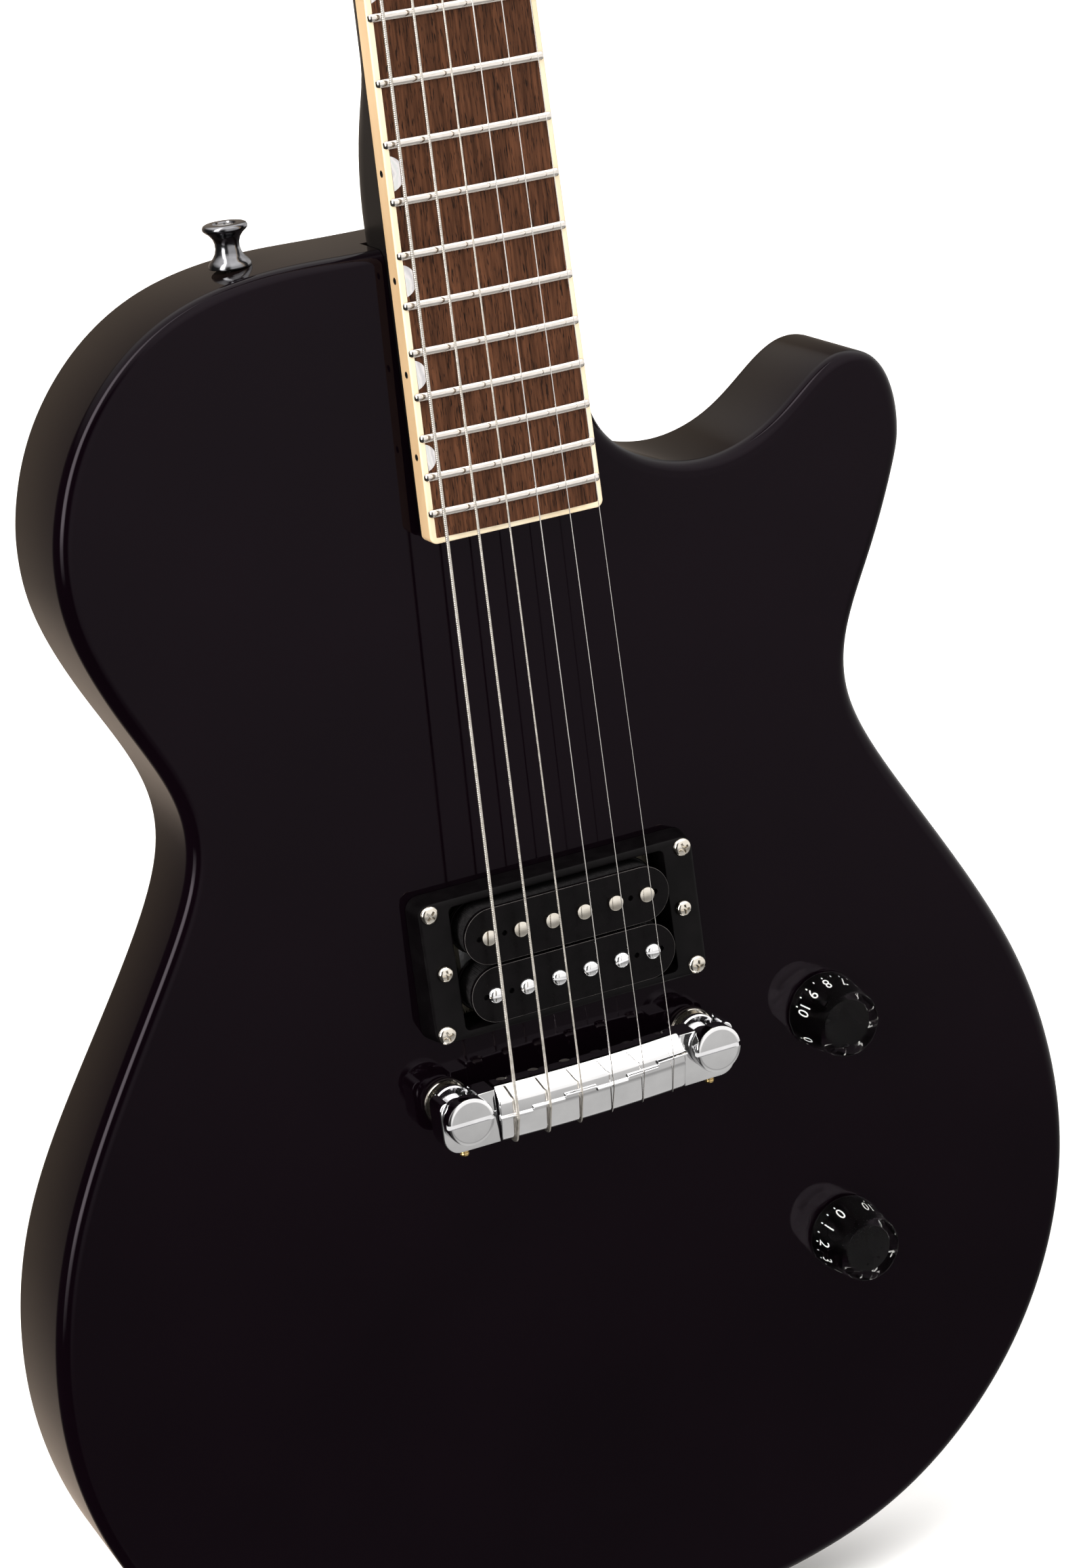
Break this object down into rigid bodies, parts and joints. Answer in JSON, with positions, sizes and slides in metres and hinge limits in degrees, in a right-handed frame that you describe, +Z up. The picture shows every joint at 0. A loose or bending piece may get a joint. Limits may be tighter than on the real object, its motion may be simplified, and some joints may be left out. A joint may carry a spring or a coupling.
{
  "type": "electric guitar",
  "caption": "Single-cutaway solid-body electric guitar with a bolt-on bound neck, a humbucking pickup, a wraparound bridge, control knobs and geared tuners.",
  "frame": {"origin": "seat of the end strap button: on the centre line, at the bottom edge of the body, at half its thickness", "axes": "+Z up the neck to the headstock, -Y out of the playing face, +X to the treble side"},
  "size_m": [0.343, 0.0818, 1.0121],
  "materials": {
    "black_lacquer": "gloss black lacquer",
    "neck_black": "gloss black lacquer",
    "rosewood": "oiled, open grain",
    "binding": "polished, aged cream",
    "fret_metal": "polished nickel silver",
    "pearl": "pearl",
    "dot_black": "satin",
    "bone": "satin",
    "steel": "satin",
    "gloss_plastic": "gloss",
    "black_hardware": "black nickel",
    "wound_string": "wound nickel",
    "plain_string": "bright steel",
    "chrome": "mirror",
    "nickel": "polished nickel",
    "ring_plastic": "semi-gloss",
    "bobbin_plastic": "satin",
    "coil_tape": "waxed cloth tape",
    "nickel_silver": "brushed",
    "pot_metal": "plated",
    "brass": "turned",
    "capacitor": "dipped"
  },
  "bodies": {
    "guitar": {"body": "black_lacquer", "neck": "neck_black", "fingerboard": "rosewood", "fingerboard_binding": "binding", "frets": "fret_metal", "inlays": "pearl", "side_dots": "dot_black", "nut": "bone", "truss_rod": "steel", "truss_rod_cover": "gloss_plastic", "headstock_screws": "black_hardware", "tuner_housings": "black_hardware", "tuner_bushings": "black_hardware", "wound_strings": "wound_string", "plain_strings": "plain_string", "bridge_bar": "chrome", "stud_bushings": "chrome", "bridge_set_screws": "nickel", "pickup_ring": "ring_plastic", "ring_screws": "nickel", "height_springs": "steel", "pots": "pot_metal", "pot_nuts": "nickel", "capacitor": "capacitor", "output_jack": "nickel", "jack_plate": "black_hardware", "control_cover": "gloss_plastic", "body_screws": "steel", "neck_plate": "black_hardware", "neck_screws": "steel", "strap_buttons": "black_hardware"},
    "key_1": {"tuner_key_1": "black_hardware"},
    "post_1": {"tuner_post_1": "black_hardware"},
    "key_2": {"tuner_key_2": "black_hardware"},
    "post_2": {"tuner_post_2": "black_hardware"},
    "key_3": {"tuner_key_3": "black_hardware"},
    "post_3": {"tuner_post_3": "black_hardware"},
    "key_4": {"tuner_key_4": "black_hardware"},
    "post_4": {"tuner_post_4": "black_hardware"},
    "key_5": {"tuner_key_5": "black_hardware"},
    "post_5": {"tuner_post_5": "black_hardware"},
    "key_6": {"tuner_key_6": "black_hardware"},
    "post_6": {"tuner_post_6": "black_hardware"},
    "volume": {"volume_knob": "gloss_plastic", "volume_shaft": "brass"},
    "tone": {"tone_knob": "gloss_plastic", "tone_shaft": "brass"},
    "pickup": {"pickup_baseplate": "nickel_silver", "slug_bobbin": "bobbin_plastic", "screw_bobbin": "bobbin_plastic", "pole_slugs": "nickel", "pole_screws": "nickel", "pickup_magnet": "steel", "pickup_bars": "steel", "coil_tape": "coil_tape"},
    "height_screw_bass": {"height_screw_bass": "nickel"},
    "bridge_stud_bass": {"bridge_stud_bass": "chrome"},
    "height_screw_treble": {"height_screw_treble": "nickel"},
    "bridge_stud_treble": {"bridge_stud_treble": "chrome"},
    "truss_rod_nut": {"truss_rod_nut": "steel"}
  },
  "joints": [
    {"name": "key_1_turn", "type": "hinge", "parent": "guitar", "child": "key_1", "pos_m": [0.0205, 0.01372, 0.87776], "axis": [1, 0, 0], "continuous": true},
    {"name": "post_1_turn", "type": "hinge", "parent": "guitar", "child": "post_1", "pos_m": [0.0205, 0.01188, 0.86997], "axis": [0, -0.9734, 0.2292], "continuous": true},
    {"name": "key_2_turn", "type": "hinge", "parent": "guitar", "child": "key_2", "pos_m": [0.0227, 0.02266, 0.91572], "axis": [1, 0, 0], "continuous": true},
    {"name": "post_2_turn", "type": "hinge", "parent": "guitar", "child": "post_2", "pos_m": [0.0227, 0.02082, 0.90794], "axis": [0, -0.9734, 0.2292], "continuous": true},
    {"name": "key_3_turn", "type": "hinge", "parent": "guitar", "child": "key_3", "pos_m": [0.0249, 0.03159, 0.95369], "axis": [1, 0, 0], "continuous": true},
    {"name": "post_3_turn", "type": "hinge", "parent": "guitar", "child": "post_3", "pos_m": [0.0249, 0.02976, 0.9459], "axis": [0, -0.9734, 0.2292], "continuous": true},
    {"name": "key_4_turn", "type": "hinge", "parent": "guitar", "child": "key_4", "pos_m": [-0.0249, 0.03159, 0.95369], "axis": [-1, 0, 0], "continuous": true},
    {"name": "post_4_turn", "type": "hinge", "parent": "guitar", "child": "post_4", "pos_m": [-0.0249, 0.02976, 0.9459], "axis": [0, -0.9734, 0.2292], "continuous": true},
    {"name": "key_5_turn", "type": "hinge", "parent": "guitar", "child": "key_5", "pos_m": [-0.0227, 0.02266, 0.91572], "axis": [-1, 0, 0], "continuous": true},
    {"name": "post_5_turn", "type": "hinge", "parent": "guitar", "child": "post_5", "pos_m": [-0.0227, 0.02082, 0.90794], "axis": [0, -0.9734, 0.2292], "continuous": true},
    {"name": "key_6_turn", "type": "hinge", "parent": "guitar", "child": "key_6", "pos_m": [-0.0205, 0.01372, 0.87776], "axis": [-1, 0, 0], "continuous": true},
    {"name": "post_6_turn", "type": "hinge", "parent": "guitar", "child": "post_6", "pos_m": [-0.0205, 0.01188, 0.86997], "axis": [0, -0.9734, 0.2292], "continuous": true},
    {"name": "volume_turn", "type": "hinge", "parent": "guitar", "child": "volume", "pos_m": [0.0873, -0.021, 0.1942], "axis": [0, -1, 0], "range_deg": [-20, 270]},
    {"name": "tone_turn", "type": "hinge", "parent": "guitar", "child": "tone", "pos_m": [0.0873, -0.021, 0.1172], "axis": [0, -1, 0], "range_deg": [-250, 40]},
    {"name": "pickup_height", "type": "slide", "parent": "guitar", "child": "pickup", "axis": [0, -1, 0], "range_m": [-0.002, 0.001], "deforming": ["height_springs"]},
    {"name": "height_screw_bass_turn", "type": "hinge", "parent": "guitar", "child": "height_screw_bass", "pos_m": [-0.0393, -0.021, 0.2433], "axis": [0, -1, 0], "range_deg": [-1440, 720]},
    {"name": "bridge_stud_bass_turn", "type": "hinge", "parent": "guitar", "child": "bridge_stud_bass", "pos_m": [-0.0412, -0.021, 0.2], "axis": [0, -1, 0], "range_deg": [-180, 180]},
    {"name": "height_screw_treble_turn", "type": "hinge", "parent": "guitar", "child": "height_screw_treble", "pos_m": [0.0393, -0.021, 0.2433], "axis": [0, -1, 0], "range_deg": [-1440, 720]},
    {"name": "bridge_stud_treble_turn", "type": "hinge", "parent": "guitar", "child": "bridge_stud_treble", "pos_m": [0.0412, -0.021, 0.2], "axis": [0, -1, 0], "range_deg": [-180, 180]},
    {"name": "truss_rod_nut_turn", "type": "hinge", "parent": "guitar", "child": "truss_rod_nut", "pos_m": [0, -0.00822, 0.8421], "axis": [0, 0.0218, 0.9998], "range_deg": [-180, 180]}
  ],
  "couplings": [
    {"joint": "post_1_turn", "follows": "key_1_turn", "ratio": 0.071429},
    {"joint": "post_2_turn", "follows": "key_2_turn", "ratio": 0.071429},
    {"joint": "post_3_turn", "follows": "key_3_turn", "ratio": 0.071429},
    {"joint": "post_4_turn", "follows": "key_4_turn", "ratio": 0.071429},
    {"joint": "post_5_turn", "follows": "key_5_turn", "ratio": 0.071429},
    {"joint": "post_6_turn", "follows": "key_6_turn", "ratio": 0.071429},
    {"joint": "height_screw_bass_turn", "follows": "pickup_height", "rad_per_m": 12566},
    {"joint": "height_screw_treble_turn", "follows": "pickup_height", "rad_per_m": 12566}
  ]
}
